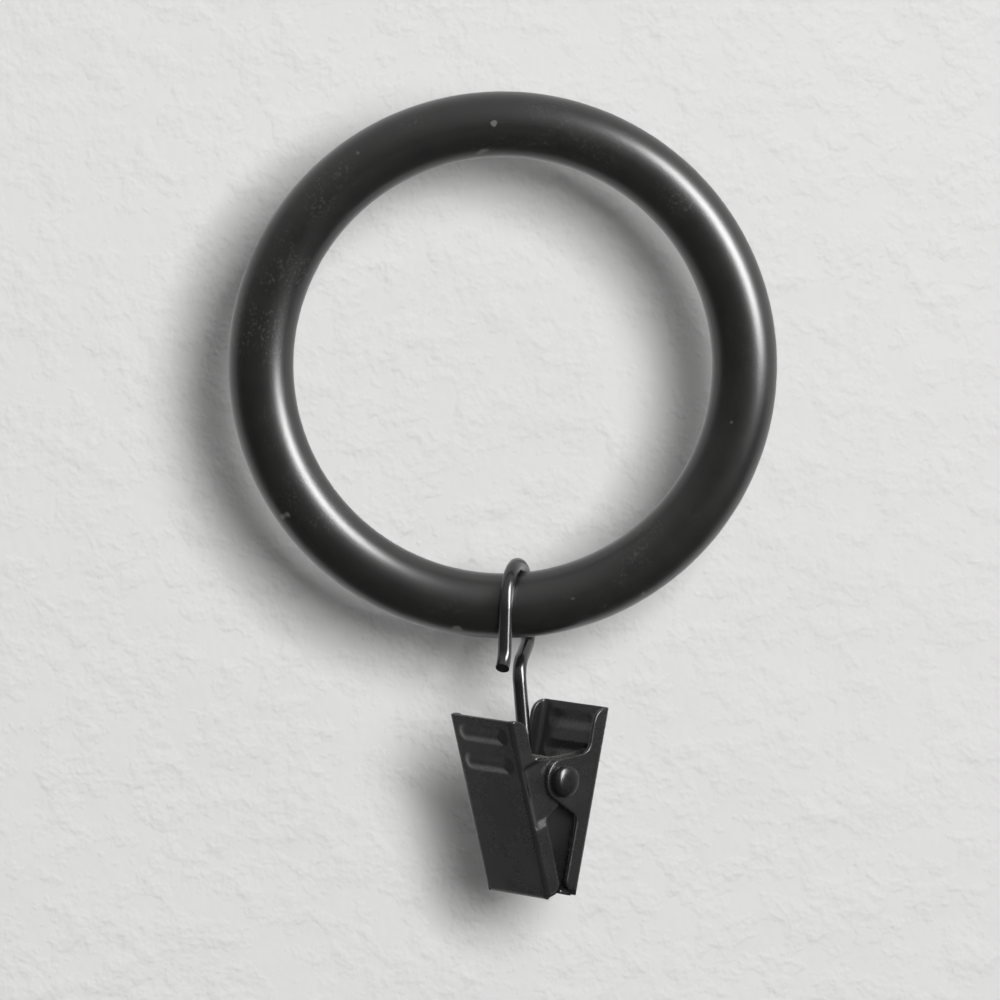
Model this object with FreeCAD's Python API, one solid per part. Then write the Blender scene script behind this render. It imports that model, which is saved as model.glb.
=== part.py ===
import FreeCAD, Part
import os
from math import acos, atan2, cos, pi, radians, sin, sqrt, tan

V = FreeCAD.Vector

# The frame: the ring stands in the XZ plane with its centre at the origin,
# +Z is up and +Y points away from the viewer. All sizes are millimetres.

# Ring
ring_inner_diameter = 50.8
ring_tube_diameter = 7.94

# Wire hook over the ring
wire_diameter = 1.7
hook_offset_x = 1.67        # where the loop crosses the ring, beside its lowest point
hook_turn = 14.0            # the loop's plane about Z, from straight across the tube
loop_side_gap = 0.58        # tube to the wire beside it, where the bend starts
loop_clearance = 0.15       # wire above the top of the tube
front_leg_lean = 6.0
back_leg_lean = 12.0
tip_drop = 1.8              # bend of the free end, below the tube's underside
tip_turn = 45.0             # the free end curls out to this angle from straight down
tip_bend_radius = 3.2
tip_straight = 0.35
jog_drop = 1.0              # bend of the leg behind, below the tube's underside
jog_bend_radius = 1.8
shank_drop = 3.7            # bend at the shank's top, below the tube's underside
shank_offset = 1.1          # shank behind the tube's middle
shank_bend_radius = 3.2
eye_inner_diameter = 2.3
eye_station = -0.95         # the eye's middle plane along the rivet
eye_wrap = 290.0
eye_neck_radius = 1.6       # centreline of the bend that leads into the eye
eye_neck_straight = 1.1
eye_neck_bend_radius = 4.0

# Clip: the rivet axis and how the clip hangs
rivet_offset_x = 3.36
rivet_drop = 16.98          # the rivet's axis below the tube's underside
clip_turn = 43.5            # the rivet's axis about Z, from the line of sight
clip_lean = 1.0

# Folded jaws
sheet_thickness = 0.5
bend_radius = 0.6           # outside of the long folds
jaw_length = 23.45
jaw_top = 9.86              # handle end above the rivet, along the plate
plate_angle = 14.9          # each plate from the clip's middle plane
plate_to_rivet = 6.0        # outer face of a plate to the rivet axis, square to the plate
back_jaw_width = 11.4
front_jaw_inset = 0.2       # each side of the front plate, from the back one's
flange_height = 2.3
flange_top_radius = 2.0
handle_low = 5.7            # above this the flanges are no deeper than flange_height
plate_top_corner = 0.5
plate_low_corner = 0.9
lip_width_inset = 0.6
lip_reach = 3.4
lip_root = 0.15             # from the lip's outer face up to the flanges' lower end
closed_gap = 0.12           # between the two jaws' lips
nesting_gap = 0.05          # between the front jaw's ears and the back jaw's

# The ears round the rivet: heights from the rivet, reach past its axis
ear_root_high = 4.02
ear_high = 1.8
ear_high_reach = 3.12
ear_low = -1.95
ear_low_reach = 1.99
ear_root_low = -3.95
ear_root_high_radius = 1.5
ear_high_radius = 2.5
ear_low_radius = 2.6
ear_root_low_radius = 1.1
flange_low_radius = 1.0
step_high = 4.1             # the front jaw's ears are stepped in between these heights
step_low = -4.6
step_run = 0.85             # length of the step's slope

# Grip ribs across each handle, pressed out from inside
rib_length = 8.2
rib_width = 2.2             # on the outer face
rib_height = 0.4
rib_stations = (2.1, 5.85)  # below the handle's end

# Rivet
rivet_diameter = 2.2
rivet_hole_diameter = 2.3
rivet_head_diameter = 4.0
rivet_head_height = 1.3
rivet_head_rim = 0.22
rivet_head_gap = 0.05

# Torsion spring
spring_wire_diameter = 1.0
spring_coil_diameter = 4.5   # centreline
spring_pitch = 1.12          # least distance from coil to coil
spring_eye_gap = 0.10        # between the hook's eye and the first coil
spring_ear_gap = 0.25        # between the last coil and the front jaw's ear
spring_leg_gap = 0.05        # between each leg's end and the handle it presses
spring_leg_tilt = 4.0
arcs_per_turn = 12

ring_radius = (ring_inner_diameter + ring_tube_diameter) / 2
tube_radius = ring_tube_diameter / 2
wire_radius = wire_diameter / 2
eye_radius = eye_inner_diameter / 2 + wire_radius
loop_radius = tube_radius + loop_side_gap + wire_radius
tube_z = -sqrt(ring_radius ** 2 - hook_offset_x ** 2)
tube_underside = tube_z - tube_radius
rivet_axis_point = V(rivet_offset_x, 0, tube_underside - rivet_drop)
jaw_bottom = jaw_top - jaw_length
front_jaw_width = back_jaw_width - 2 * front_jaw_inset
front_joggle = sheet_thickness + nesting_gap - front_jaw_inset
front_ear_inside = back_jaw_width / 2 - 2 * sheet_thickness - nesting_gap
spring_start = eye_station + wire_radius + spring_eye_gap + spring_wire_diameter / 2
spring_end = front_ear_inside - spring_ear_gap - spring_wire_diameter / 2
spring_turns = int((spring_end - spring_start) / spring_pitch)


def half_corner(a, corner, b):
    """Half the angle inside a corner."""
    to_a = (a - corner).normalize()
    to_b = (b - corner).normalize()
    return atan2((to_a - to_b).Length, (to_a + to_b).Length)


def arc_between(a, corner, b, radius):
    """Tangent arc that rounds a corner: its start, middle and end points."""
    to_a = (a - corner).normalize()
    to_b = (b - corner).normalize()
    half = half_corner(a, corner, b)
    reach = radius / tan(half)
    bisector = (to_a + to_b).normalize()
    centre = corner + bisector * (radius / sin(half))
    middle = centre - bisector * radius
    return corner + to_a * reach, middle, corner + to_b * reach


def rounded_edges(points, radii, closed=False):
    """Edges through points, each corner rounded by its radius."""
    count = len(points)
    corners = []
    for i, point in enumerate(points):
        ends = not closed and i in (0, count - 1)
        if ends or radii[i] == 0:
            corners.append((point, None, point))
        else:
            corners.append(arc_between(points[i - 1], point,
                                       points[(i + 1) % count], radii[i]))
    edges = []
    for i, (start, middle, end) in enumerate(corners):
        if middle is not None:
            edges.append(Part.Arc(start, middle, end).toShape())
        if i + 1 < count or closed:
            following = corners[(i + 1) % count][0]
            if (following - end).Length > 1e-6:
                edges.append(Part.LineSegment(end, following).toShape())
    return edges


def swept_wire(edges, radius):
    """A round wire along a path of touching, tangent edges."""
    path = Part.Wire(edges)
    first = edges[0]
    start = first.valueAt(first.FirstParameter)
    along = first.tangentAt(first.FirstParameter)
    section = Part.Wire(Part.makeCircle(radius, start, along))
    sweep = Part.BRepOffsetAPI.MakePipeShell(path)
    sweep.setFrenetMode(False)
    sweep.add(section)
    sweep.build()
    sweep.makeSolid()
    return sweep.shape()


def prism(points, radii, along):
    """A straight prism on a closed outline with rounded corners."""
    return Part.Face(Part.Wire(rounded_edges(points, radii, True))).extrude(along)


# Axes of the clip: r along the rivet toward the viewer, u from the front jaw
# to the back jaw, v up.
def clip_point(r, u, v):
    return clip_placement.multVec(V(r, u, v))


clip_placement = FreeCAD.Placement(
    rivet_axis_point,
    FreeCAD.Rotation(V(0, 0, 1), clip_turn - 90.0)
    * FreeCAD.Rotation(V(1, 0, 0), clip_lean))


def make_ring():
    return Part.makeTorus(ring_radius, tube_radius, V(0, 0, 0), V(0, 1, 0))


def make_hook():
    turn = radians(hook_turn)
    top = tube_z + tube_radius + loop_clearance + wire_radius

    def in_loop(s, z):
        return V(hook_offset_x + s * sin(turn), s * cos(turn), z)

    def leg(lean):
        return loop_radius * tan(radians(90 - lean) / 2), tan(radians(lean))

    front_corner, front_slope = leg(front_leg_lean)
    back_corner, back_slope = leg(back_leg_lean)
    tip_z = tube_underside - tip_drop
    jog_z = tube_underside - jog_drop
    shank_z = tube_underside - shank_drop
    tip_s = -(front_corner + (top - tip_z) * front_slope)
    jog_s = back_corner + (top - jog_z) * back_slope
    end = tip_bend_radius * tan(radians(tip_turn - front_leg_lean) / 2) + tip_straight
    tip_angle = radians(tip_turn)

    # The eye: the shank bends aside, then turns round the rivet.
    aside = eye_neck_radius
    rise = sqrt((aside + eye_radius) ** 2 - aside ** 2)
    meet = atan2(rise, aside)

    def in_eye(u, v):
        return clip_point(eye_station, u, v)

    points = [
        in_loop(tip_s - end * sin(tip_angle), tip_z - end * cos(tip_angle)),
        in_loop(tip_s, tip_z),
        in_loop(-front_corner, top),
        in_loop(back_corner, top),
        in_loop(jog_s, jog_z),
        in_loop(shank_offset, shank_z),
        in_eye(0, rise + eye_neck_straight),
        in_eye(0, rise),
    ]
    radii = [0, tip_bend_radius, loop_radius, loop_radius,
             jog_bend_radius, shank_bend_radius, eye_neck_bend_radius, 0]
    edges = rounded_edges(points, radii)
    bend = [in_eye(aside - aside * cos(a), rise - aside * sin(a))
            for a in (0, meet / 2, meet)]
    edges.append(Part.Arc(*bend).toShape())
    wrap = radians(eye_wrap)
    for first, last in ((0, wrap / 2), (wrap / 2, wrap)):
        turns = [meet - a for a in (first, (first + last) / 2, last)]
        loop = [in_eye(eye_radius * cos(a), eye_radius * sin(a)) for a in turns]
        edges.append(Part.Arc(*loop).toShape())
    return swept_wire(edges, wire_radius)


def make_jaw(width, joggle):
    """One folded jaw, first flat on its own plate: x along the rivet, y out of
    the plate's outer face, z up the plate from the rivet's level."""
    half, t = width / 2, sheet_thickness
    inner_bend = bend_radius - t
    deep = plate_to_rivet + 2 * ear_high_reach
    turn = 1 / sqrt(2)

    def channel_side(sign):
        corner = (sign * (half - bend_radius), -bend_radius)

        def on_bend(radius):
            return [V(corner[0] + sign * radius * a, corner[1] + radius * b, 0)
                    for a, b in ((0, 1), (turn, turn), (1, 0))]
        return on_bend(bend_radius), on_bend(inner_bend)

    right_outer, right_inner = channel_side(1)
    left_outer, left_inner = channel_side(-1)
    line = lambda a, b: Part.LineSegment(a, b).toShape()
    section = Part.Wire([
        line(left_outer[0], right_outer[0]),
        Part.Arc(*right_outer).toShape(),
        line(right_outer[2], V(half, -deep, 0)),
        line(V(half, -deep, 0), V(half - t, -deep, 0)),
        line(V(half - t, -deep, 0), right_inner[2]),
        Part.Arc(*reversed(right_inner)).toShape(),
        line(right_inner[0], left_inner[0]),
        Part.Arc(*left_inner).toShape(),
        line(left_inner[2], V(t - half, -deep, 0)),
        line(V(t - half, -deep, 0), V(-half, -deep, 0)),
        line(V(-half, -deep, 0), left_outer[2]),
        Part.Arc(*reversed(left_outer)).toShape(),
    ])
    low = jaw_bottom + lip_root
    channel = Part.Face(section).extrude(V(0, 0, jaw_top - low))
    channel.translate(V(0, 0, low))

    # The ears' pressed step inward, on both flanges.
    if joggle > 0:
        def step(at, sign, depth):
            def outline(inset, x):
                y0, z0, z1 = bend_radius + inset, step_low + inset, step_high - inset
                corners = [V(x, -y0, z0), V(x, -y0, z1),
                           V(x, -deep - 1, z1), V(x, -deep - 1, z0)]
                return Part.makePolygon(corners + corners[:1])
            return Part.makeLoft([outline(0, sign * at),
                                  outline(step_run, sign * (at - depth))], True, True)
        for sign in (1, -1):
            inside = step(half - t, sign, joggle)
            channel = channel.fuse(inside).cut(step(half, sign, joggle))

    # The flanges' outline seen along the rivet, the ear round the rivet hole.
    outline = [(-1, jaw_top + 1, 0), (flange_height, jaw_top + 1, 0),
               (flange_height, ear_root_high, ear_root_high_radius),
               (plate_to_rivet + ear_high_reach, ear_high, ear_high_radius),
               (plate_to_rivet + ear_low_reach, ear_low, ear_low_radius),
               (flange_height, ear_root_low, ear_root_low_radius),
               (flange_height, low, flange_low_radius), (-1, low, 0)]
    side = prism([V(-half - 1, -p, q) for p, q, _ in outline],
                 [r for _, _, r in outline], V(width + 2, 0, 0))
    channel = channel.common(side)
    for_top = prism([V(-half - 1, -p, q) for p, q in
                     ((-1, low - 1), (-1, jaw_top), (flange_height, jaw_top),
                      (flange_height, handle_low), (deep, handle_low), (deep, low - 1))],
                    [0, 0, flange_top_radius, 0, 0, 0], V(width + 2, 0, 0))
    channel = channel.common(for_top)
    front = prism([V(x, 1, z) for x, z in
                   ((-half, low), (half, low), (half, jaw_top), (-half, jaw_top))],
                  [plate_low_corner] * 2 + [plate_top_corner] * 2, V(0, -deep - 2, 0))
    channel = channel.common(front)

    # The lip: the plate's bottom edge turned in.
    lip_half = half - lip_width_inset
    bottom = jaw_bottom
    cut_box = Part.makeBox(2 * lip_half, bend_radius + 1, bend_radius + 1,
                           V(-lip_half, -bend_radius, bottom - 1))
    channel = channel.cut(cut_box)
    reach = lip_reach
    middle = V(0, -bend_radius, bottom + bend_radius)
    arc = lambda radius: [middle + V(0, radius * a, radius * b)
                          for a, b in ((1, 0), (turn, -turn), (0, -1))]
    outer, inner = arc(bend_radius), arc(inner_bend)
    lip_section = Part.Wire([
        Part.Arc(*outer).toShape(),
        line(outer[2], V(0, -reach, bottom)),
        line(V(0, -reach, bottom), V(0, -reach, bottom + t)),
        line(V(0, -reach, bottom + t), inner[2]),
        Part.Arc(*reversed(inner)).toShape(),
        line(inner[0], outer[0]),
    ])
    lip = Part.Face(lip_section).extrude(V(2 * lip_half, 0, 0))
    lip.translate(V(-lip_half, 0, 0))
    jaw = channel.fuse(lip)

    # The ribs: raised outside, hollow inside, one wall all through.
    rib_curve = (rib_width ** 2 / 4 + rib_height ** 2) / (2 * rib_height)
    under = rib_curve - rib_height
    span = rib_length - rib_width

    def capsule(z, radius):
        body = Part.makeCylinder(radius, span, V(-span / 2, -under, z), V(1, 0, 0))
        for x in (-span / 2, span / 2):
            body = body.fuse(Part.makeSphere(radius, V(x, -under, z)))
        return body
    for station in rib_stations:
        z = jaw_top - station
        keep = Part.makeBox(width, width, 2 * rib_width, V(-half, -t / 2, z - rib_width))
        jaw = jaw.fuse(capsule(z, rib_curve).common(keep)).cut(capsule(z, rib_curve - t))

    # Lean the plate about the rivet, bore the ears, trim at the middle plane.
    jaw.translate(V(0, plate_to_rivet, 0))
    jaw.rotate(V(0, 0, 0), V(1, 0, 0), -plate_angle)
    jaw = jaw.cut(Part.makeCylinder(rivet_hole_diameter / 2, width + 4,
                                    V(-half - 2, 0, 0), V(1, 0, 0)))
    trim = Part.makeBox(width, jaw_length, jaw_length,
                        V(-half, closed_gap / 2 - jaw_length, -plate_to_rivet - jaw_length))
    return jaw.cut(trim).removeSplitter()


def make_rivet():
    reach = back_jaw_width / 2 + rivet_head_gap
    radius, rise = rivet_head_diameter / 2, rivet_head_height
    edge = rivet_head_rim
    dome = (radius ** 2 + (rise - edge) ** 2) / (2 * (rise - edge))
    quarter = []
    centre = reach + rise - dome
    angle = acos((dome - (rise - edge)) / dome)
    mid = V(centre + dome * cos(angle / 2), dome * sin(angle / 2), 0)
    line = lambda a, b: Part.LineSegment(a, b).toShape()
    shank = rivet_diameter / 2
    for s in (1, -1):
        flip = lambda v: V(s * v.x, v.y, 0)
        quarter.append([
            Part.Arc(flip(V(reach + rise, 0, 0)), flip(mid),
                     flip(V(reach + edge, radius, 0))).toShape(),
            line(flip(V(reach + edge, radius, 0)), flip(V(reach, radius, 0))),
            line(flip(V(reach, radius, 0)), flip(V(reach, shank, 0))),
        ])
    profile = Part.Wire(Part.__sortEdges__(
        quarter[0] + [line(V(reach, shank, 0), V(-reach, shank, 0))] + quarter[1]
        + [line(V(-reach - rise, 0, 0), V(reach + rise, 0, 0))]))
    return Part.Face(profile).revolve(V(0, 0, 0), V(1, 0, 0), 360)


def make_spring():
    """A coil of short tangent arcs, and a straight leg on each end that meets
    the inner face of a handle."""
    tilt = radians(spring_leg_tilt)
    total = 2 * pi * spring_turns - 2 * tilt
    count = arcs_per_turn * spring_turns
    step = total / count
    radius = spring_coil_diameter / 2
    rate = (spring_end - spring_start) / (radius * total)
    lean = radians(plate_angle)

    def on_coil(angle, at_radius):
        along = spring_start + (spring_end - spring_start) * (angle - tilt) / total
        return V(along, at_radius * sin(angle), at_radius * cos(angle))

    def heading(angle):
        return V(rate, cos(angle), -sin(angle)).normalize()

    def leg_end(point, direction):
        side = 1 if direction.y > 0 else -1
        square = V(0, side * cos(lean), -sin(lean))
        along = direction.dot(square)
        rim = spring_wire_diameter / 2 * sqrt(1 - along ** 2)
        face = plate_to_rivet - sheet_thickness - spring_leg_gap - rim
        return point + direction * ((face - point.dot(square)) / along)

    corners = [on_coil(tilt + (i + 0.5) * step, radius / cos(step / 2))
               for i in range(count)]
    points = ([leg_end(on_coil(tilt, radius), heading(tilt) * -1)] + corners
              + [leg_end(on_coil(tilt + total, radius), heading(tilt + total))])
    half_run = (corners[1] - corners[0]).Length / 2
    radii = [0] + [half_run * tan(half_corner(*points[i - 1:i + 2]))
                   for i in range(1, len(points) - 1)] + [0]
    return swept_wire(rounded_edges(points, radii), spring_wire_diameter / 2)


back = make_jaw(back_jaw_width, 0.0)
front = make_jaw(front_jaw_width, front_joggle)
front.rotate(V(0, 0, 0), V(0, 0, 1), 180)

shapes = {
    "ring": make_ring(),
    "hook": make_hook(),
    "jaw_front": front,
    "jaw_back": back,
    "rivet": make_rivet(),
    "spring": make_spring(),
}
for name in ("jaw_front", "jaw_back", "rivet", "spring"):
    shapes[name].Placement = clip_placement.multiply(shapes[name].Placement)

os.makedirs("parts", exist_ok=True)
for name, shape in shapes.items():
    if shape.ShapeType != "Solid" and len(shape.Solids) == 1:
        shape = shape.Solids[0]
    print(name, shape.ShapeType, len(shape.Solids), shape.isValid(),
          round(shape.Volume, 2), shape.BoundBox)
    shape.exportStep("parts/" + name + ".step")
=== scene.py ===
from math import atan2, cos, pi, radians, sin, sqrt, tan

import bpy
import numpy as np
from mathutils import Matrix, Vector, kdtree
from mathutils.geometry import delaunay_2d_cdt


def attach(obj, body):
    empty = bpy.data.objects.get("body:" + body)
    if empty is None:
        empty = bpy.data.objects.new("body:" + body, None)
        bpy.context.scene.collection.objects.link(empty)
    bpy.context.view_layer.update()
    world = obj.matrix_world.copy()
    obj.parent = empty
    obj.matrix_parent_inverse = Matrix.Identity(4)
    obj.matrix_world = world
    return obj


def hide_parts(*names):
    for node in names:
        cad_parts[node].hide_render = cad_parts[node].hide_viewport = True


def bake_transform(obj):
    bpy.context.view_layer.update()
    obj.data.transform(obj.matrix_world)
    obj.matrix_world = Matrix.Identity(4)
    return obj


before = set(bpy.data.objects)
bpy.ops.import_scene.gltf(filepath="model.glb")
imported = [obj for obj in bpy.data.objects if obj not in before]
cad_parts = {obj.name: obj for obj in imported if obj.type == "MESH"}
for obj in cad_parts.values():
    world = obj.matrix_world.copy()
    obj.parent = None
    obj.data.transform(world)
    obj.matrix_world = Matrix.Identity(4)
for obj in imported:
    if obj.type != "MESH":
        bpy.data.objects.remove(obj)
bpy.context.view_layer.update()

MM = 0.001

# Sizes in millimetres, the same as the solids'.
RING_INNER = 50.8
TUBE = 7.94
WIRE = 1.7
HOOK_X = 1.67
HOOK_TURN = 14.0
LOOP_SIDE_GAP, LOOP_CLEARANCE = 0.58, 0.15
FRONT_LEAN, BACK_LEAN = 6.0, 12.0
TIP_DROP, TIP_TURN, TIP_BEND, TIP_STRAIGHT = 1.8, 45.0, 3.2, 0.35
JOG_DROP, JOG_BEND = 1.0, 1.8
SHANK_DROP, SHANK_OFFSET, SHANK_BEND = 3.7, 1.1, 3.2
EYE_INNER, EYE_STATION, EYE_WRAP = 2.3, -0.95, 290.0
NECK_BEND, NECK_STRAIGHT, NECK_TOP_BEND = 1.6, 1.1, 4.0
RIVET_X, RIVET_DROP = 3.36, 16.98
CLIP_TURN, CLIP_LEAN = 43.5, 1.0
SHEET, BEND = 0.5, 0.6
JAW_LENGTH, JAW_TOP = 23.45, 9.86
PLATE_ANGLE, PLATE_TO_RIVET = 14.9, 6.0
BACK_WIDTH, FRONT_INSET = 11.4, 0.2
FLANGE, FLANGE_TOP_RADIUS, FLANGE_TOP_SLOPE = 2.3, 2.0, 0.3
FLANGE_FOOT, FLANGE_FOOT_RADIUS = 0.6, 1.1    # the flange's end above the plate's
PLATE_END = 0.4               # the plate's lower edge runs this far into the fold
LIP_INSET, LIP_ROOT, LIP_NARROWING = 0.6, 0.15, 0.05
LIP_RELIEF = 0.1              # width and height of the small cuts beside the lip
CLOSED_GAP = 0.12
NESTING = 0.05
EAR_CORNERS = ((None, 4.02, 1.5), (3.12, 1.80, 2.5), (1.99, -1.95, 2.6),
               (None, -3.95, 1.1))  # reach past the rivet, height, radius
RIB_LENGTH, RIB_WIDTH, RIB_HEIGHT = 8.2, 2.2, 0.4
RIB_STATIONS = (2.1, 5.85)
RIB_SHOULDER, RIB_FULLNESS = 0.12, 0.8        # soft rim outside the rib, fuller crest
STEP_RISE, STEP_FALL = (-4.5, -3.5), (3.2, 4.1)  # heights where the ears' step runs
STEP_DEPTH = (0.1, BEND + 0.4)                # depth in the flange where it runs
RIVET_HOLE, RIVET_SHANK = 2.3, 2.2
HEAD, HEAD_RISE, HEAD_RIM, HEAD_GAP = 4.0, 1.3, 0.22, 0.05
HEAD_CORNER, CROWN_CORNER, SHANK_CORNER = 0.06, 0.05, 0.03
CROWN, CROWN_PIECES = 0.52, 24  # below 1 the head is flatter in its middle
SPRING_WIRE, SPRING_COIL, SPRING_PITCH, SPRING_TILT = 1.0, 4.5, 1.12, 4.0
SPRING_EYE_GAP, SPRING_EAR_GAP, SPRING_LEG_GAP = 0.10, 0.25, 0.05

RING_RADIUS = (RING_INNER + TUBE) / 2
LOOP_RADIUS = TUBE / 2 + LOOP_SIDE_GAP + WIRE / 2
TUBE_Z = -sqrt(RING_RADIUS ** 2 - HOOK_X ** 2)
UNDERSIDE = TUBE_Z - TUBE / 2
RIVET_POINT = Vector((RIVET_X, 0, UNDERSIDE - RIVET_DROP))
JAW_BOTTOM = JAW_TOP - JAW_LENGTH
FRONT_WIDTH = BACK_WIDTH - 2 * FRONT_INSET
STEP_IN = SHEET + NESTING - FRONT_INSET
SPRING_START = EYE_STATION + WIRE / 2 + SPRING_EYE_GAP + SPRING_WIRE / 2
SPRING_END = (BACK_WIDTH / 2 - 2 * SHEET - NESTING - SPRING_EAR_GAP
              - SPRING_WIRE / 2)
SPRING_TURNS = int((SPRING_END - SPRING_START) / SPRING_PITCH)

CLIP = (Matrix.Translation(RIVET_POINT)
        @ Matrix.Rotation(radians(CLIP_TURN - 90), 4, "Z")
        @ Matrix.Rotation(radians(CLIP_LEAN), 4, "X"))


def smooth_step(value, low, high):
    part = np.clip((value - low) / (high - low), 0.0, 1.0)
    return part * part * (3 - 2 * part)


# Paths

BEND_STEP, WIRE_STEP = 0.15, 0.6      # longest runs in a bend and elsewhere
NECK_PIECES, EYE_PIECES, COIL_PIECES = 12, 64, 40
RING_PIECES = 240


def rounded_path(points, radii, step, closed=False):
    """Points along a polygon whose corners are tangent arcs."""
    points = [Vector(p) for p in points]
    count = len(points)
    line = []
    for i, point in enumerate(points):
        if radii[i] == 0 or (not closed and i in (0, count - 1)):
            line.append(point)
            continue
        to_a = (points[i - 1] - point).normalized()
        to_b = (points[(i + 1) % count] - point).normalized()
        half = atan2((to_a - to_b).length, (to_a + to_b).length)
        bisector = (to_a + to_b).normalized()
        centre = point + bisector * (radii[i] / sin(half))
        start = point + to_a * (radii[i] / tan(half)) - centre
        end = point + to_b * (radii[i] / tan(half)) - centre
        turn = pi - 2 * half
        pieces = max(2, int(turn * radii[i] / step) + 1)
        for k in range(pieces + 1):
            angle = turn * k / pieces
            line.append(centre + (start * sin(turn - angle) + end * sin(angle))
                        / sin(turn))
    distinct = [line[0]]
    for point in line[1:]:
        if (point - distinct[-1]).length > 1e-5:
            distinct.append(point)
    return distinct


def subdivided(line, step):
    """The same path with no run longer than the step."""
    out = [line[0]]
    for a, b in zip(line, line[1:]):
        pieces = max(1, int((b - a).length / step))
        out += [a.lerp(b, (k + 1) / pieces) for k in range(pieces)]
    return out


def ring_path():
    return [Vector((RING_RADIUS * sin(2 * pi * k / RING_PIECES), 0,
                    RING_RADIUS * cos(2 * pi * k / RING_PIECES)))
            for k in range(RING_PIECES)]


def hook_path():
    """The bends over the ring, the jog, the shank and the eye round the rivet."""
    turn = radians(HOOK_TURN)
    top = TUBE_Z + TUBE / 2 + LOOP_CLEARANCE + WIRE / 2

    def in_loop(s, z):
        return Vector((HOOK_X + s * sin(turn), s * cos(turn), z))

    def leg(lean):
        return LOOP_RADIUS * tan(radians(90 - lean) / 2), tan(radians(lean))

    front_corner, front_slope = leg(FRONT_LEAN)
    back_corner, back_slope = leg(BACK_LEAN)
    tip_z, jog_z = UNDERSIDE - TIP_DROP, UNDERSIDE - JOG_DROP
    tip_s = -(front_corner + (top - tip_z) * front_slope)
    jog_s = back_corner + (top - jog_z) * back_slope
    end = TIP_BEND * tan(radians(TIP_TURN - FRONT_LEAN) / 2) + TIP_STRAIGHT
    tip_angle = radians(TIP_TURN)
    eye = EYE_INNER / 2 + WIRE / 2
    aside = NECK_BEND
    rise = sqrt((aside + eye) ** 2 - aside ** 2)
    meet = atan2(rise, aside)

    def in_eye(u, v):
        return CLIP @ Vector((EYE_STATION, u, v))

    points = [
        in_loop(tip_s - end * sin(tip_angle), tip_z - end * cos(tip_angle)),
        in_loop(tip_s, tip_z), in_loop(-front_corner, top),
        in_loop(back_corner, top), in_loop(jog_s, jog_z),
        in_loop(SHANK_OFFSET, UNDERSIDE - SHANK_DROP),
        in_eye(0, rise + NECK_STRAIGHT), in_eye(0, rise)]
    radii = [0, TIP_BEND, LOOP_RADIUS, LOOP_RADIUS, JOG_BEND, SHANK_BEND,
             NECK_TOP_BEND, 0]
    line = subdivided(rounded_path(points, radii, BEND_STEP), WIRE_STEP)
    for k in range(1, NECK_PIECES + 1):
        a = meet * k / NECK_PIECES
        line.append(in_eye(aside - aside * cos(a), rise - aside * sin(a)))
    wrap = radians(EYE_WRAP)
    for k in range(1, EYE_PIECES + 1):
        a = meet - wrap * k / EYE_PIECES
        line.append(in_eye(eye * cos(a), eye * sin(a)))
    return line


def spring_path():
    """The coil and its two legs, in the clip's own axes."""
    tilt = radians(SPRING_TILT)
    total = 2 * pi * SPRING_TURNS - 2 * tilt
    radius = SPRING_COIL / 2
    lean = radians(PLATE_ANGLE)

    def on_coil(angle):
        along = SPRING_START + (SPRING_END - SPRING_START) * (angle - tilt) / total
        return Vector((along, radius * sin(angle), radius * cos(angle)))

    def heading(angle):
        """The way of a leg, square to the rivet so that it clears the hook."""
        return Vector((0, cos(angle), -sin(angle)))

    def leg_end(point, direction):
        side = 1 if direction.y > 0 else -1
        square = Vector((0, side * cos(lean), -sin(lean)))
        along = direction.dot(square)
        rim = SPRING_WIRE / 2 * sqrt(1 - along ** 2)
        face = PLATE_TO_RIVET - SHEET - SPRING_LEG_GAP - rim
        return point + direction * ((face - point.dot(square)) / along)

    pieces = COIL_PIECES * SPRING_TURNS
    coil = [on_coil(tilt + total * k / pieces) for k in range(pieces + 1)]
    line = ([leg_end(coil[0], -heading(tilt))] + coil
            + [leg_end(coil[-1], heading(tilt + total))])
    return [CLIP @ point for point in subdivided(line, WIRE_STEP)]


# Meshes

def as_object(name, vertices, faces, finish, smooth=True):
    mesh = bpy.data.meshes.new(name)
    mesh.from_pydata([tuple(v) for v in vertices], [], [tuple(f) for f in faces])
    mesh.validate()
    if smooth:
        mesh.shade_smooth()
    mesh.materials.append(finish)
    piece = bpy.data.objects.new(name, mesh)
    bpy.context.collection.objects.link(piece)
    return piece


def applied(piece):
    """The curve and its modifier turned into a plain mesh of the same name."""
    graph = bpy.context.evaluated_depsgraph_get()
    mesh = bpy.data.meshes.new_from_object(piece.evaluated_get(graph))
    name = piece.name
    plain = bpy.data.objects.new(name, mesh)
    bpy.data.objects.remove(piece)
    plain.name = name
    bpy.context.collection.objects.link(plain)
    return plain


class Tree:
    """A node tree built by one method."""

    def __init__(self, tree):
        self.tree = tree
        tree.nodes.clear()

    def node(self, kind, settings=None, values=None):
        node = self.tree.nodes.new(kind)
        for key, value in (settings or {}).items():
            setattr(node, key, value)
        for key, value in (values or {}).items():
            socket = node.inputs[key]
            if isinstance(value, Field):
                self.tree.links.new(value.socket, socket)
            elif isinstance(value, bpy.types.NodeSocket):
                self.tree.links.new(value, socket)
            else:
                socket.default_value = value
        return node


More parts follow.
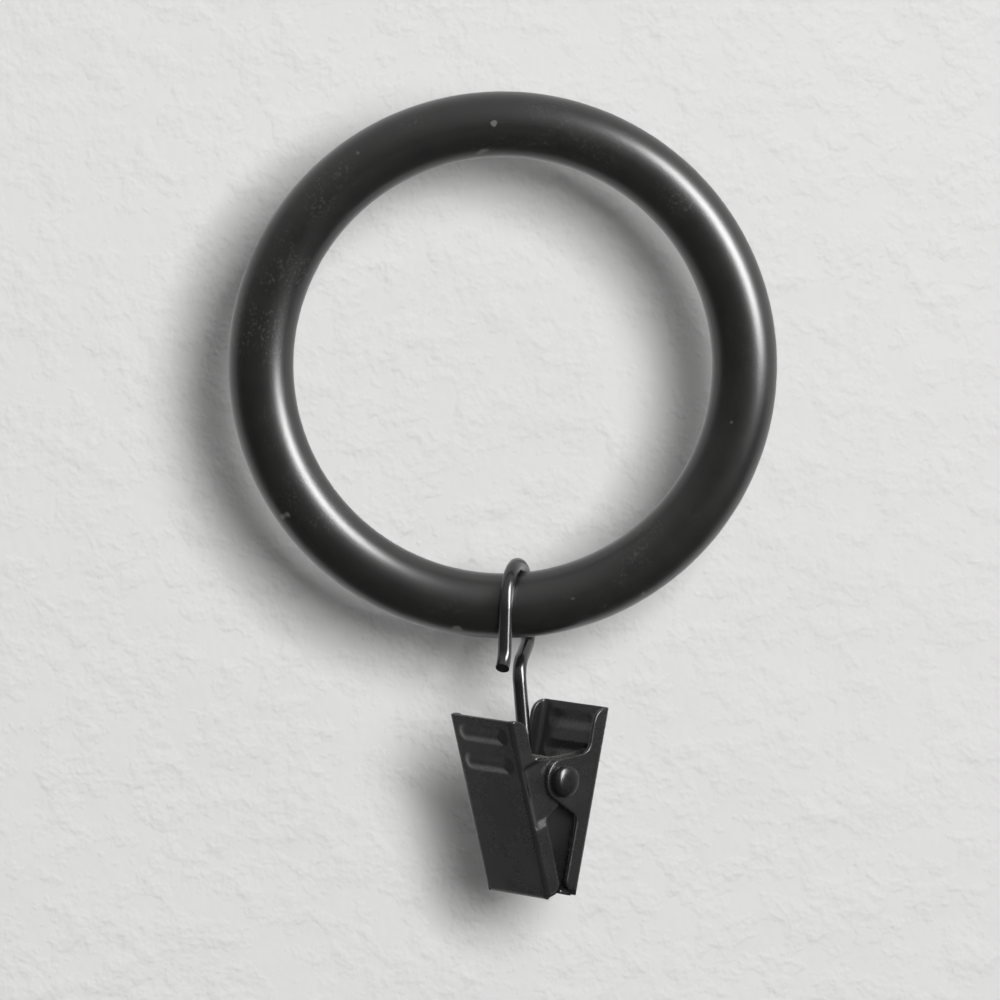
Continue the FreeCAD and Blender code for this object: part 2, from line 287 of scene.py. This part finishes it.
class Field:
    """One socket's value, for arithmetic in shader nodes."""

    def __init__(self, tree, socket):
        self.tree, self.socket = tree, socket

    def math(self, operation, first, second):
        node = self.tree.node("ShaderNodeMath", {"operation": operation},
                              {0: first, 1: second})
        return Field(self.tree, node.outputs[0])

    def __add__(self, other):
        return self.math("ADD", self, other)

    def __radd__(self, other):
        return self.math("ADD", other, self)

    def __sub__(self, other):
        return self.math("SUBTRACT", self, other)

    def __rsub__(self, other):
        return self.math("SUBTRACT", other, self)

    def __mul__(self, other):
        return self.math("MULTIPLY", self, other)

    def __rmul__(self, other):
        return self.math("MULTIPLY", other, self)

    def clamped(self, low, high):
        raised = self.math("MAXIMUM", self, low)
        return self.math("MINIMUM", raised, high)


def wire_tree():
    """Sweeps a round wire along a curve, with closed ends."""
    group = bpy.data.node_groups.new("bent wire", "GeometryNodeTree")
    face = group.interface
    face.new_socket("Path", in_out="INPUT", socket_type="NodeSocketGeometry")
    face.new_socket("Wire Radius", in_out="INPUT", socket_type="NodeSocketFloat")
    face.new_socket("Sides", in_out="INPUT", socket_type="NodeSocketInt")
    face.new_socket("Finish", in_out="INPUT", socket_type="NodeSocketMaterial")
    face.new_socket("Wire", in_out="OUTPUT", socket_type="NodeSocketGeometry")
    tree = Tree(group)
    given = tree.node("NodeGroupInput").outputs
    profile = tree.node("GeometryNodeCurvePrimitiveCircle", None,
                        {"Resolution": given["Sides"], "Radius": given["Wire Radius"]})
    swept = tree.node("GeometryNodeCurveToMesh", None,
                      {"Curve": given["Path"], "Profile Curve": profile.outputs["Curve"],
                       "Fill Caps": True})
    smooth = tree.node("GeometryNodeSetShadeSmooth", None,
                       {"Geometry": swept.outputs["Mesh"]})
    real = tree.node("GeometryNodeRealizeInstances", None,
                     {"Geometry": smooth.outputs["Geometry"]})
    finished = tree.node("GeometryNodeSetMaterial", None,
                         {"Geometry": real.outputs["Geometry"],
                          "Material": given["Finish"]})
    out = tree.node("NodeGroupOutput")
    group.links.new(finished.outputs["Geometry"], out.inputs["Wire"])
    return group


def swept(name, line, radius, finish, sides, cyclic=False):
    """A round wire or tube along points given in millimetres."""
    curve = bpy.data.curves.new(name, "CURVE")
    curve.dimensions = "3D"
    spline = curve.splines.new("POLY")
    spline.points.add(len(line) - 1)
    for point, place in zip(spline.points, line):
        point.co = (*(place * MM), 1)
    spline.use_cyclic_u = cyclic
    piece = bpy.data.objects.new(name, curve)
    bpy.context.collection.objects.link(piece)
    modifier = piece.modifiers.new("wire", "NODES")
    modifier.node_group = WIRE_TREE
    inputs = {s.name: s.identifier for s in WIRE_TREE.interface.items_tree
              if s.in_out == "INPUT"}
    modifier[inputs["Wire Radius"]] = radius * MM
    modifier[inputs["Sides"]] = sides
    modifier[inputs["Finish"]] = finish
    return applied(piece)


def turned(name, profile, place, finish, sides):
    """A closed solid of revolution about x; the profile runs end to end."""
    vertices, faces = [], []
    rings = []
    for along, radius in profile:
        if radius < 1e-6:
            rings.append([len(vertices)])
            vertices.append(place @ Vector((along, 0, 0)) * MM)
        else:
            rings.append(list(range(len(vertices), len(vertices) + sides)))
            vertices += [place @ Vector((along, radius * cos(2 * pi * k / sides),
                                         radius * sin(2 * pi * k / sides))) * MM
                         for k in range(sides)]
    for a, b in zip(rings, rings[1:]):
        for k in range(sides):
            j = (k + 1) % sides
            if len(a) == 1:
                faces.append((a[0], b[k], b[j]))
            elif len(b) == 1:
                faces.append((a[k], b[0], a[j]))
            else:
                faces.append((a[k], b[k], b[j], a[j]))
    return as_object(name, vertices, faces, finish)


# The folded jaws: a flat blank, cut, pierced, pressed and folded.

RIM = 0.1                     # round of the cut edges
INNER_BEND = 0.55             # the pressing tool leaves a soft inner corner
FOLD = BEND * pi / 2          # width of blank that goes into a bend
LIP_TOP = JAW_BOTTOM + BEND
OUTLINE_STEP, CORNER_STEP, HOLE_SIDES = 0.16, 0.09, 48
FLAT_COLUMNS, BEND_COLUMNS = 45, 9
MESH_STEP, RIB_STEP, RIB_ZONE = 0.22, 0.13, 7.0   # grid, and closer below the top
GRID_PAST_RIVET, GRID_BELOW = 3.4, 3.2        # room for the ears and the flat lip
EDGE_CLEAR = 0.075            # no grid point nearer to an edge


def blank_outline(width):
    """The blank's outline; across it from the middle, and up it from the rivet."""
    half = width / 2
    flat_half = half - BEND
    lean = radians(PLATE_ANGLE)

    def across(depth):
        return flat_half + FOLD + depth - BEND
    low = JAW_BOTTOM + LIP_ROOT
    foot = low + FLANGE_FOOT
    lip_half = half - LIP_INSET
    relief = lip_half + LIP_RELIEF
    lip_reach = PLATE_TO_RIVET + JAW_BOTTOM * tan(lean) - CLOSED_GAP / 2 / cos(lean)
    lip_end = LIP_TOP - FOLD - (lip_reach - BEND)
    ear = [(across(FLANGE if reach is None else PLATE_TO_RIVET + reach), height, radius)
           for reach, height, radius in EAR_CORNERS]
    right = [
        (flat_half + FLANGE_TOP_SLOPE, JAW_TOP, 0.4),
        (across(FLANGE), JAW_TOP - FLANGE_TOP_SLOPE, FLANGE_TOP_RADIUS),
        *ear,
        (across(FLANGE), foot, FLANGE_FOOT_RADIUS),
        (flat_half + FOLD, foot, 0.4),
        (flat_half + PLATE_END, low, 0.3),
        (relief, low, 0.06),
        (relief, LIP_TOP + LIP_RELIEF, 0.04),
        (lip_half, LIP_TOP + LIP_RELIEF, 0.04),
        (lip_half, lip_end, 0.3),
    ]
    left = [(-s, l, r) for s, l, r in reversed(right)]
    corners = right + left
    line = rounded_path([(s, l, 0) for s, l, _ in corners],
                        [r for _, _, r in corners], CORNER_STEP, True)
    return [p.xy for p in subdivided(line + line[:1], OUTLINE_STEP)[:-1]]


def runs_left(loop):
    """Whether the loop runs counterclockwise."""
    return sum(a.x * b.y - b.x * a.y
               for a, b in zip(loop, loop[1:] + loop[:1])) > 0


def pulled_in(loop, amount):
    """A loop moved into the material by an amount, with its outward normals."""
    count = len(loop)
    sense = 1 if runs_left(loop) else -1
    out, normals = [], []
    for i, point in enumerate(loop):
        along = (loop[(i + 1) % count] - loop[i - 1]).normalized()
        normal = Vector((along.y, -along.x)) * sense
        out.append(point - normal * amount)
        normals.append(normal)
    return out, normals


def inside_loop(points, loop):
    x, y = points[:, 0], points[:, 1]
    hits = np.zeros(len(points), bool)
    for a, b in zip(loop, loop[1:] + loop[:1]):
        crosses = (a.y > y) != (b.y > y)
        if a.y != b.y:
            at = (b.x - a.x) * (y - a.y) / (b.y - a.y) + a.x
            hits ^= crosses & (x < at)
    return hits


def on_sheet(points, loops):
    """Which points lie inside the outline and outside the holes."""
    keep = inside_loop(points, loops[0])
    for loop in loops[1:]:
        keep &= ~inside_loop(points, loop)
    return keep


def blank_edges(width):
    """The outline and both rivet holes, each pulled in by the rim."""
    hole_at = width / 2 - BEND + FOLD + PLATE_TO_RIVET - BEND
    edges = [pulled_in(blank_outline(width), RIM)]
    step = 2 * pi / HOLE_SIDES
    for side in (1, -1):
        hole = [Vector((side * hole_at + RIVET_HOLE / 2 * cos(k * step),
                        -RIVET_HOLE / 2 * sin(k * step))) for k in range(HOLE_SIDES)]
        loop, normals = pulled_in(hole, -RIM)
        edges.append((loop, [-n for n in normals]))
    return edges


def blank_grid(width, loops):
    """Points over the whole sheet, closer together across bends and ribs."""
    flat_half = width / 2 - BEND
    ear_end = flat_half + FOLD + PLATE_TO_RIVET - BEND + GRID_PAST_RIVET
    sides = list(np.linspace(flat_half, flat_half + FOLD, BEND_COLUMNS))[1:]
    sides += list(np.arange(flat_half + FOLD + MESH_STEP, ear_end, MESH_STEP))
    columns = list(np.linspace(-flat_half, flat_half, FLAT_COLUMNS))
    columns += sides + [-c for c in sides]
    rows = list(np.arange(JAW_BOTTOM - GRID_BELOW, JAW_TOP - RIB_ZONE, MESH_STEP))
    rows += list(np.arange(JAW_TOP - RIB_ZONE, JAW_TOP, RIB_STEP))
    grid = np.array([(c, r) for c in columns for r in rows])
    grid = grid[on_sheet(grid, loops)]
    edge_points = [p for loop in loops for p in loop]
    near = kdtree.KDTree(len(edge_points))
    for i, p in enumerate(edge_points):
        near.insert((p.x, p.y, 0), i)
    near.balance()
    return [Vector(g) for g in grid if near.find((g[0], g[1], 0))[2] > EDGE_CLEAR]


def folded(width, step_in, s, l, depth):
    """Folds points of the blank, s across it and l up it; depth is measured in
    from the outer face. Gives x along the rivet, y out of the plate, z up it."""
    half = width / 2
    flat_half = half - BEND
    lip_half = half - LIP_INSET
    sign = np.where(s < 0, -1.0, 1.0)
    beyond = np.abs(s) - flat_half
    angle = np.clip(beyond / BEND, 0, pi / 2)
    run = np.maximum(beyond - FOLD, 0)
    inner = BEND - depth
    x = np.minimum(np.abs(s), flat_half) + inner * np.sin(angle)
    p = BEND - inner * np.cos(angle) + run
    # The inner face takes a rounder corner than the outer one.
    soft = SHEET + INNER_BEND
    sweep = np.clip((beyond + soft - BEND) / (FOLD + 2 * (soft - BEND)), 0, 1) * pi / 2
    within = (sweep > 0) & (sweep < pi / 2)
    share = depth / SHEET
    x = np.where(within, x + share * (half - soft + INNER_BEND * np.sin(sweep)
                                      - np.minimum(np.abs(s), flat_half)
                                      - (BEND - SHEET) * np.sin(angle)), x)
    p = np.where(within, p + share * (soft - INNER_BEND * np.cos(sweep) - BEND
                                      + (BEND - SHEET) * np.cos(angle) - run), p)
    x = sign * x
    # The lip turns in at the bottom.
    q = np.array(l, float)
    lip = (np.abs(s) < lip_half + LIP_RELIEF / 2) & (l < LIP_TOP)
    drop = LIP_TOP - l
    turn = np.clip(drop / BEND, 0, pi / 2)
    x = np.where(lip, s * (1 - LIP_NARROWING * smooth_step(drop, -0.1, FOLD)), x)
    p = np.where(lip, BEND - inner * np.cos(turn) + np.maximum(drop - FOLD, 0), p)
    q = np.where(lip, LIP_TOP - inner * np.sin(turn), q)
    # The ribs stand out of the handle.
    raised = np.zeros_like(p)
    for station in RIB_STATIONS:
        reach = (RIB_LENGTH - RIB_WIDTH) / 2
        away = np.hypot(np.maximum(np.abs(s) - reach, 0), l - (JAW_TOP - station))
        far = np.clip(away / (RIB_WIDTH / 2 + RIB_SHOULDER), 0, 1)
        crest = (0.5 + 0.5 * np.cos(pi * far)) ** RIB_FULLNESS
        raised = np.maximum(raised, RIB_HEIGHT * crest)
    p = p - np.where(np.abs(s) < flat_half, raised, 0)
    # The front jaw's ears are stepped in.
    level = (smooth_step(q, *STEP_RISE) * (1 - smooth_step(q, *STEP_FALL))
             * smooth_step(p, *STEP_DEPTH))
    x = x - sign * step_in * level * (beyond > 0)
    return np.stack([x, -p, q], 1)


def folded_jaw(name, width, finish, step_in, half_turn):
    """A jaw: its blank meshed flat, both faces folded, the cut edges rounded."""
    edges = blank_edges(width)
    loops = [loop for loop, _ in edges]
    points, seams = [], []
    for loop in loops:
        first = len(points)
        points += loop
        seams += [(first + i, first + (i + 1) % len(loop)) for i in range(len(loop))]
    points += blank_grid(width, loops)
    flat, _, triangles, origin, *_ = delaunay_2d_cdt(points, seams, [], 0, 1e-6, True)
    centres = np.array([sum((flat[i] for i in t), Vector((0, 0))) / 3
                        for t in triangles])
    triangles = [t for t, ok in zip(triangles, on_sheet(centres, loops)) if ok]
    place = {source: i for i, sources in enumerate(origin) for source in sources}

    s = np.array([v.x for v in flat])
    l = np.array([v.y for v in flat])
    count = len(flat)
    vertices = [folded(width, step_in, s, l, 0.0), folded(width, step_in, s, l, SHEET)]
    faces = []
    for a, b, c in triangles:
        u, v = flat[b] - flat[a], flat[c] - flat[a]
        if u.x * v.y - u.y * v.x > 0:
            a, b, c = a, c, b
        faces.append((a, b, c))
        faces.append((count + a, count + c, count + b))

    # How far out of the pulled-in loop and how deep the rim's rows lie, in rims.
    turn = sqrt(0.5)
    levels = [(turn, 1 - turn), (1, 1), (1, SHEET / RIM - 1),
              (turn, SHEET / RIM - 1 + turn)]
    total, offset = 2 * count, 0
    for loop, normals in edges:
        size = len(loop)
        leftward = runs_left(loop)
        ring = [place[offset + i] for i in range(size)]
        rows = [ring]
        for out, deep in levels:
            moved = [p + n * out * RIM for p, n in zip(loop, normals)]
            vertices.append(folded(width, step_in, np.array([p.x for p in moved]),
                                   np.array([p.y for p in moved]), deep * RIM))
            rows.append(list(range(total, total + size)))
            total += size
        rows.append([count + i for i in ring])
        for upper, lower in zip(rows, rows[1:]):
            for i in range(size):
                j = (i + 1) % size
                quad = (upper[i], upper[j], lower[j], lower[i])
                faces.append(quad if leftward else quad[::-1])
        offset += size
    lean = np.array(CLIP @ (Matrix.Rotation(pi, 4, "Z") if half_turn else Matrix())
                    @ Matrix.Rotation(radians(-PLATE_ANGLE), 4, "X")
                    @ Matrix.Translation((0, PLATE_TO_RIVET, 0)))
    vertices = (np.concatenate(vertices) @ lean[:3, :3].T + lean[:3, 3]) * MM
    return as_object(name, vertices, faces, finish)


# Finishes

def finish_named(name):
    material = bpy.data.materials.new(name)
    material.use_nodes = True
    tree = Tree(material.node_tree)
    shader = tree.node("ShaderNodeBsdfPrincipled")
    out = tree.node("ShaderNodeOutputMaterial")
    material.node_tree.links.new(shader.outputs[0], out.inputs[0])
    return material, tree, shader


def noise(tree, scale, detail, rough):
    """A pattern from 0 to 1 in the piece's own room, of a scale per metre."""
    place = tree.node("ShaderNodeTexCoord").outputs["Object"]
    node = tree.node("ShaderNodeTexNoise", {"noise_dimensions": "3D"},
                     {"Vector": place, "Scale": scale, "Detail": detail,
                      "Roughness": rough})
    return Field(tree, node.outputs["Fac"])


def mixed(tree, share, first, second):
    """A colour between two, by a share from 0 to 1."""
    node = tree.node("ShaderNodeMix", {"data_type": "RGBA"},
                     {0: share, 6: first, 7: second})
    return node.outputs[2]


# Dust: features per metre, how they fade in, and their colour.
DUST_PATCHES, DUST_SPECKS, DUST_LONE = 90, 3400, 520
DUST_TINT = (0.16, 0.155, 0.145, 1)


def black_coat(name, shade, tint, roughness, spread, grain, depth, coat, dust):
    """A black coating with a little dust; grain and depth are in millimetres."""
    material, tree, shader = finish_named(name)
    per_metre = 1000 / grain
    fine = noise(tree, per_metre, 3.0, 0.6)
    broad = noise(tree, per_metre / 14, 3.0, 0.6)
    patches = (noise(tree, DUST_PATCHES, 3.0, 0.6) * 5.0 - 2.6).clamped(0, 1)
    specks = (noise(tree, DUST_SPECKS, 1.0, 0.5) * 9.0 - 5.3).clamped(0, 0.6)
    lone = (noise(tree, DUST_LONE, 0.0, 0.5) * 30.0 - 24.6).clamped(0, 1)
    dusty = ((specks * patches + lone) * dust).clamped(0, 1)
    colour = mixed(tree, (broad * 1.6 - 0.3).clamped(0, 1), (*shade, 1), (*tint, 1))
    links = material.node_tree.links
    links.new(mixed(tree, dusty, colour, DUST_TINT), shader.inputs["Base Color"])
    rough = (roughness + (broad - 0.5) * spread + (fine - 0.5) * spread
             + dusty * 0.3 + patches * 0.04)
    links.new(rough.clamped(0.05, 0.9).socket, shader.inputs["Roughness"])
    bump = tree.node("ShaderNodeBump", None,
                     {"Height": fine + broad * 0.6 + dusty * 0.5, "Strength": 1.0,
                      "Distance": depth * MM})
    links.new(bump.outputs[0], shader.inputs["Normal"])
    shader.inputs["Coat Weight"].default_value = coat
    shader.inputs["Coat Roughness"].default_value = roughness * 0.8
    shader.inputs["IOR"].default_value = 1.5
    return material


RING_COAT = black_coat(
    "powder coat", shade=(0.007, 0.007, 0.007), tint=(0.012, 0.012, 0.011),
    roughness=0.38, spread=0.10, grain=0.26, depth=0.020, coat=1.0, dust=0.6)
WIRE_COAT = black_coat(
    "gloss wire coat", shade=(0.006, 0.006, 0.006), tint=(0.011, 0.011, 0.011),
    roughness=0.24, spread=0.05, grain=0.45, depth=0.002, coat=1.0, dust=0.3)
CLIP_COAT = black_coat(
    "clip coat", shade=(0.013, 0.013, 0.013), tint=(0.018, 0.018, 0.018),
    roughness=0.27, spread=0.06, grain=0.40, depth=0.003, coat=0.4, dust=0.1)
RIVET_COAT = black_coat(
    "rivet coat", shade=(0.006, 0.006, 0.006), tint=(0.010, 0.010, 0.010),
    roughness=0.27, spread=0.05, grain=0.40, depth=0.003, coat=0.2, dust=0.1)
SPRING_COAT = black_coat(
    "spring coat", shade=(0.012, 0.011, 0.010), tint=(0.022, 0.020, 0.018),
    roughness=0.20, spread=0.06, grain=0.30, depth=0.003, coat=1.0, dust=0.2)
WIRE_TREE = wire_tree()


# Pieces

def rivet_profile():
    """From one head's crown along the shank to the other's."""
    reach = BACK_WIDTH / 2 + HEAD_GAP
    edge, radius, shank = HEAD_RIM, HEAD / 2, RIVET_SHANK / 2
    rise = HEAD_RISE - edge
    step = pi / 2 / CROWN_PIECES
    crown = [(reach + edge + rise * cos(k * step) ** CROWN,
              radius * sin(k * step) ** CROWN) for k in range(CROWN_PIECES)]
    corner = [(reach + edge - CROWN_CORNER, radius),
              (reach + HEAD_CORNER, radius), (reach, radius - HEAD_CORNER),
              (reach, shank + SHANK_CORNER), (reach - SHANK_CORNER, shank)]
    side = crown + corner
    return side + [(-along, r) for along, r in reversed(side)]


ring = swept("curtain_ring", ring_path(), TUBE / 2, RING_COAT, sides=72, cyclic=True)
hook = swept("wire_hook", hook_path(), WIRE / 2, WIRE_COAT, sides=36)
spring = swept("torsion_spring", spring_path(), SPRING_WIRE / 2, SPRING_COAT, sides=20)
front = folded_jaw("front_jaw", FRONT_WIDTH, CLIP_COAT, step_in=STEP_IN, half_turn=True)
back = folded_jaw("back_jaw", BACK_WIDTH, CLIP_COAT, step_in=0.0, half_turn=False)
rivet = turned("clip_rivet", rivet_profile(), CLIP, RIVET_COAT, sides=96)

for piece, node, body, slot in (
        (ring, "ring", "ring", "ring_coat"),
        (hook, "hook", "hook", "wire_coat"),
        (front, "jaw_front", "jaw_front", "clip_coat"),
        (back, "jaw_back", "jaw_back", "clip_coat"),
        (rivet, "rivet", "jaw_front", "rivet_coat")):
    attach(piece, body)
    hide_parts(node)
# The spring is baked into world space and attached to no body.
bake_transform(spring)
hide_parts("spring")

# Stage, light and camera

ELEVATION = radians(6.3)      # the camera looks down this much
DISTANCE = 900.0
SCALE = 0.1217                # millimetres to a pixel at the ring
LOOK_AT = Vector((-0.32, 0.0, -16.4))
FRAME_PIXELS, SENSOR = 1000, 36.0
LAMP_AIM = Vector((0, 0, -0.015))
SKY_LEVEL, SKY_RISE = 0.08, 0.45      # at the horizon, and more of it overhead
WALL_Y, FLOOR_Z, STAGE_REACH, STAGE_FRONT = 44.0, -160.0, 1500, -800


def plane(name, corners, finish):
    piece = as_object(name, [Vector(c) * MM for c in corners], [range(len(corners))],
                      finish, False)


def pale_stage(name, shade, relief, glow):
    """A pale plaster surface that is seen only from its front; its glow is seen
    by the camera alone."""
    material = bpy.data.materials.new(name)
    material.use_nodes = True
    tree = Tree(material.node_tree)
    out = tree.node("ShaderNodeOutputMaterial")
    trowel = noise(tree, 55, 4.0, 0.6)
    pits = noise(tree, 260, 3.0, 0.6)
    height = trowel * 1.2 + (pits * 2.2 - 1.0).clamped(0, 1) * 0.5
    bump = tree.node("ShaderNodeBump", None,
                     {"Height": height, "Strength": 1.0, "Distance": relief * MM})
    rays = tree.node("ShaderNodeLightPath").outputs
    # Glossy rays see this surface's colour 30% darker: painted shade in its reflections,
    # standing in for the wall's shadow seen in the rims.
    painted_dim_reflection = mixed(tree, rays["Is Glossy Ray"], (*shade, 1),
                     (*(part * 0.7 for part in shade), 1))
    lit = tree.node("ShaderNodeBsdfDiffuse", None,
                    {"Color": painted_dim_reflection, "Normal": bump.outputs[0]})
    seen = Field(tree, rays["Is Camera Ray"])
    light = tree.node("ShaderNodeEmission", None,
                      {"Color": (1, 1, 0.99, 1), "Strength": seen * glow})
    front_face = tree.node("ShaderNodeAddShader", None,
                           {0: lit.outputs[0], 1: light.outputs[0]})
    clear = tree.node("ShaderNodeBsdfTransparent")
    behind = tree.node("ShaderNodeNewGeometry").outputs["Backfacing"]
    mix = tree.node("ShaderNodeMixShader", None,
                    {0: behind, 1: front_face.outputs[0], 2: clear.outputs[0]})
    material.node_tree.links.new(mix.outputs[0], out.inputs[0])
    return material


plane("wall", [(-STAGE_REACH, WALL_Y, FLOOR_Z), (STAGE_REACH, WALL_Y, FLOOR_Z),
               (STAGE_REACH, WALL_Y, STAGE_REACH), (-STAGE_REACH, WALL_Y, STAGE_REACH)],
      pale_stage("pale wall", (0.73, 0.73, 0.725), relief=0.75, glow=0.0))
plane("floor", [(-STAGE_REACH, STAGE_FRONT, FLOOR_Z), (STAGE_REACH, STAGE_FRONT, FLOOR_Z),
                (STAGE_REACH, WALL_Y, FLOOR_Z), (-STAGE_REACH, WALL_Y, FLOOR_Z)],
      pale_stage("pale floor", (0.10, 0.10, 0.10), relief=0.3, glow=0.65))


def lamp(name, tilt, clock, size, watts, unseen):
    """A soft lamp 1 m from the object. Its way is tilted from the line of sight
    toward a clock angle from +X; size is along the tilt and across it."""
    light = bpy.data.lights.new(name, "AREA")
    light.shape = "RECTANGLE"
    light.size, light.size_y = size[0] * MM, size[1] * MM
    light.energy = watts
    lamp_object = bpy.data.objects.new(name, light)
    setattr(lamp_object, "visible_" + unseen, False)
    tilt, clock = radians(tilt), radians(clock)
    ahead = Vector((sin(tilt) * cos(clock), -cos(tilt), sin(tilt) * sin(clock)))
    along = Vector((cos(tilt) * cos(clock), sin(tilt), cos(tilt) * sin(clock)))
    axes = Matrix((along, ahead.cross(along), ahead)).transposed().to_4x4()
    lamp_object.matrix_world = Matrix.Translation(ahead + LAMP_AIM) @ axes
    bpy.context.collection.objects.link(lamp_object)


lamp("window", tilt=60, clock=26, size=(370, 860), watts=19.5, unseen="diffuse")
lamp("fill", tilt=13.4, clock=53, size=(190, 190), watts=9.4, unseen="glossy")

world = bpy.data.worlds.new("studio")
bpy.context.scene.world = world
world.use_nodes = True
sky = Tree(world.node_tree)
sky_out = sky.node("ShaderNodeOutputWorld")
place = sky.node("ShaderNodeTexCoord").outputs["Generated"]
up = Field(sky, sky.node("ShaderNodeSeparateXYZ", None, {0: place}).outputs["Z"])
level = (up * SKY_RISE + SKY_LEVEL).clamped(0.02, 1)
soft = sky.node("ShaderNodeBackground", None,
                {"Color": (1, 1, 1, 1), "Strength": level})
pale_air = sky.node("ShaderNodeBackground", None,
                    {"Color": (0.74, 0.74, 0.73, 1), "Strength": 1.0})
seen = sky.node("ShaderNodeLightPath").outputs["Is Camera Ray"]
air = sky.node("ShaderNodeMixShader", None,
               {0: seen, 1: soft.outputs[0], 2: pale_air.outputs[0]})
world.node_tree.links.new(air.outputs[0], sky_out.inputs[0])

camera_data = bpy.data.cameras.new("view")
camera_data.sensor_width = SENSOR
camera_data.lens = SENSOR * DISTANCE / (SCALE * FRAME_PIXELS)
camera_data.clip_start, camera_data.clip_end = 0.01, 20.0
camera = bpy.data.objects.new("view", camera_data)
forward = Vector((0, cos(ELEVATION), -sin(ELEVATION)))
camera.location = (LOOK_AT - forward * DISTANCE) * MM
camera.rotation_euler = (pi / 2 - ELEVATION, 0, 0)
bpy.context.collection.objects.link(camera)
bpy.context.scene.camera = camera
bpy.context.scene.view_settings.view_transform = "Standard"
